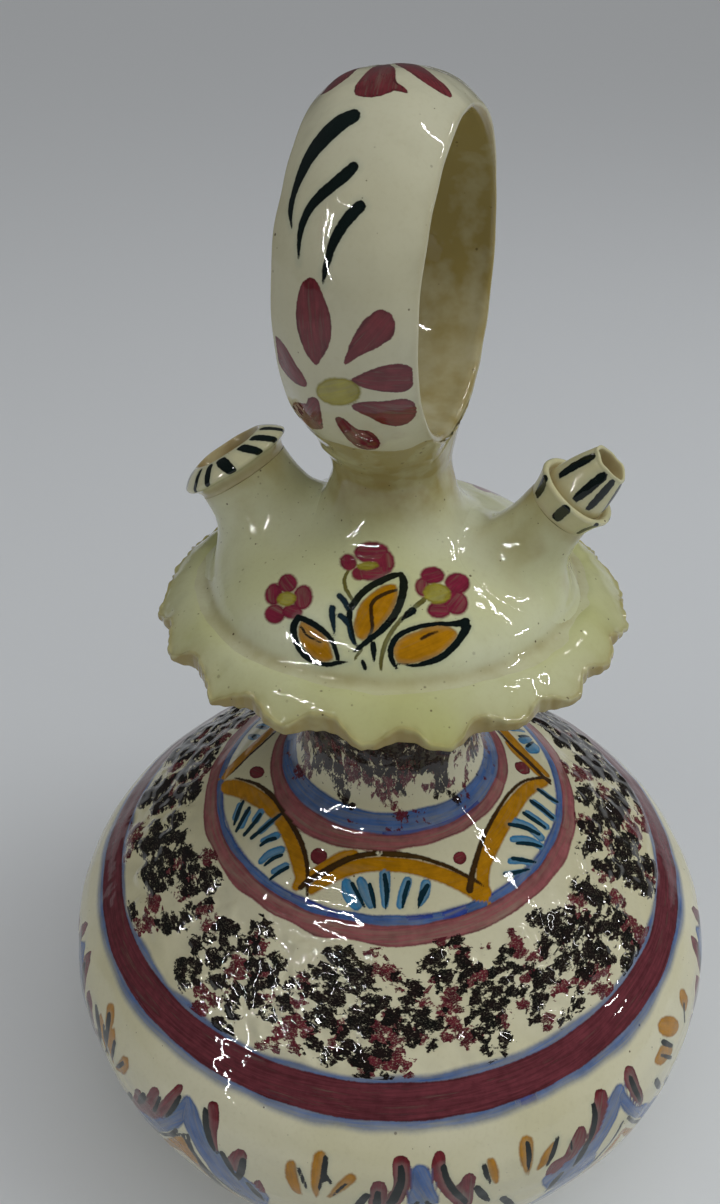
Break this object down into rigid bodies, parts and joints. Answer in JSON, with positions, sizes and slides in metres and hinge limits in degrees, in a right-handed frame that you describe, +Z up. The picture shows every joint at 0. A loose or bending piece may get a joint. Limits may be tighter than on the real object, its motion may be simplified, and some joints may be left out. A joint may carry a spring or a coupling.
{
  "type": "ceramic water jug",
  "caption": "Glazed round water jug with waisted neck, scalloped collar, upper dome, ring handle, wide filler mouth and narrow pouring spout, hand-painted.",
  "frame": {"origin": "centre of the foot, on the surface that the jug stands on", "axes": "+Z up along the jug's axis; +X towards the pouring spout; the ring handle stands in the YZ plane"},
  "size_m": [0.2202, 0.2202, 0.3421],
  "materials": {
    "painted_glaze": "glossy cream tin glaze with painted flowers, leaves and bands",
    "relief_glaze": "glossy cream glaze over low relief, sponged black and burgundy",
    "cream_glaze": "glossy cream-yellow glaze, browner at the edge",
    "bare_clay": "bare buff clay, wiped clean of glaze"
  },
  "bodies": {
    "root": {"foot_ring": "bare_clay", "base_disc": "bare_clay", "belly": "painted_glaze", "shoulder": "relief_glaze", "neck": "relief_glaze", "scalloped_collar": "cream_glaze", "dome": "painted_glaze", "handle_stem": "painted_glaze", "ring_handle": "painted_glaze", "filler_tube": "painted_glaze", "filler_lip": "painted_glaze", "spout_tube": "painted_glaze", "spout_collar": "painted_glaze", "spout_nozzle": "painted_glaze"}
  },
  "joints": []
}
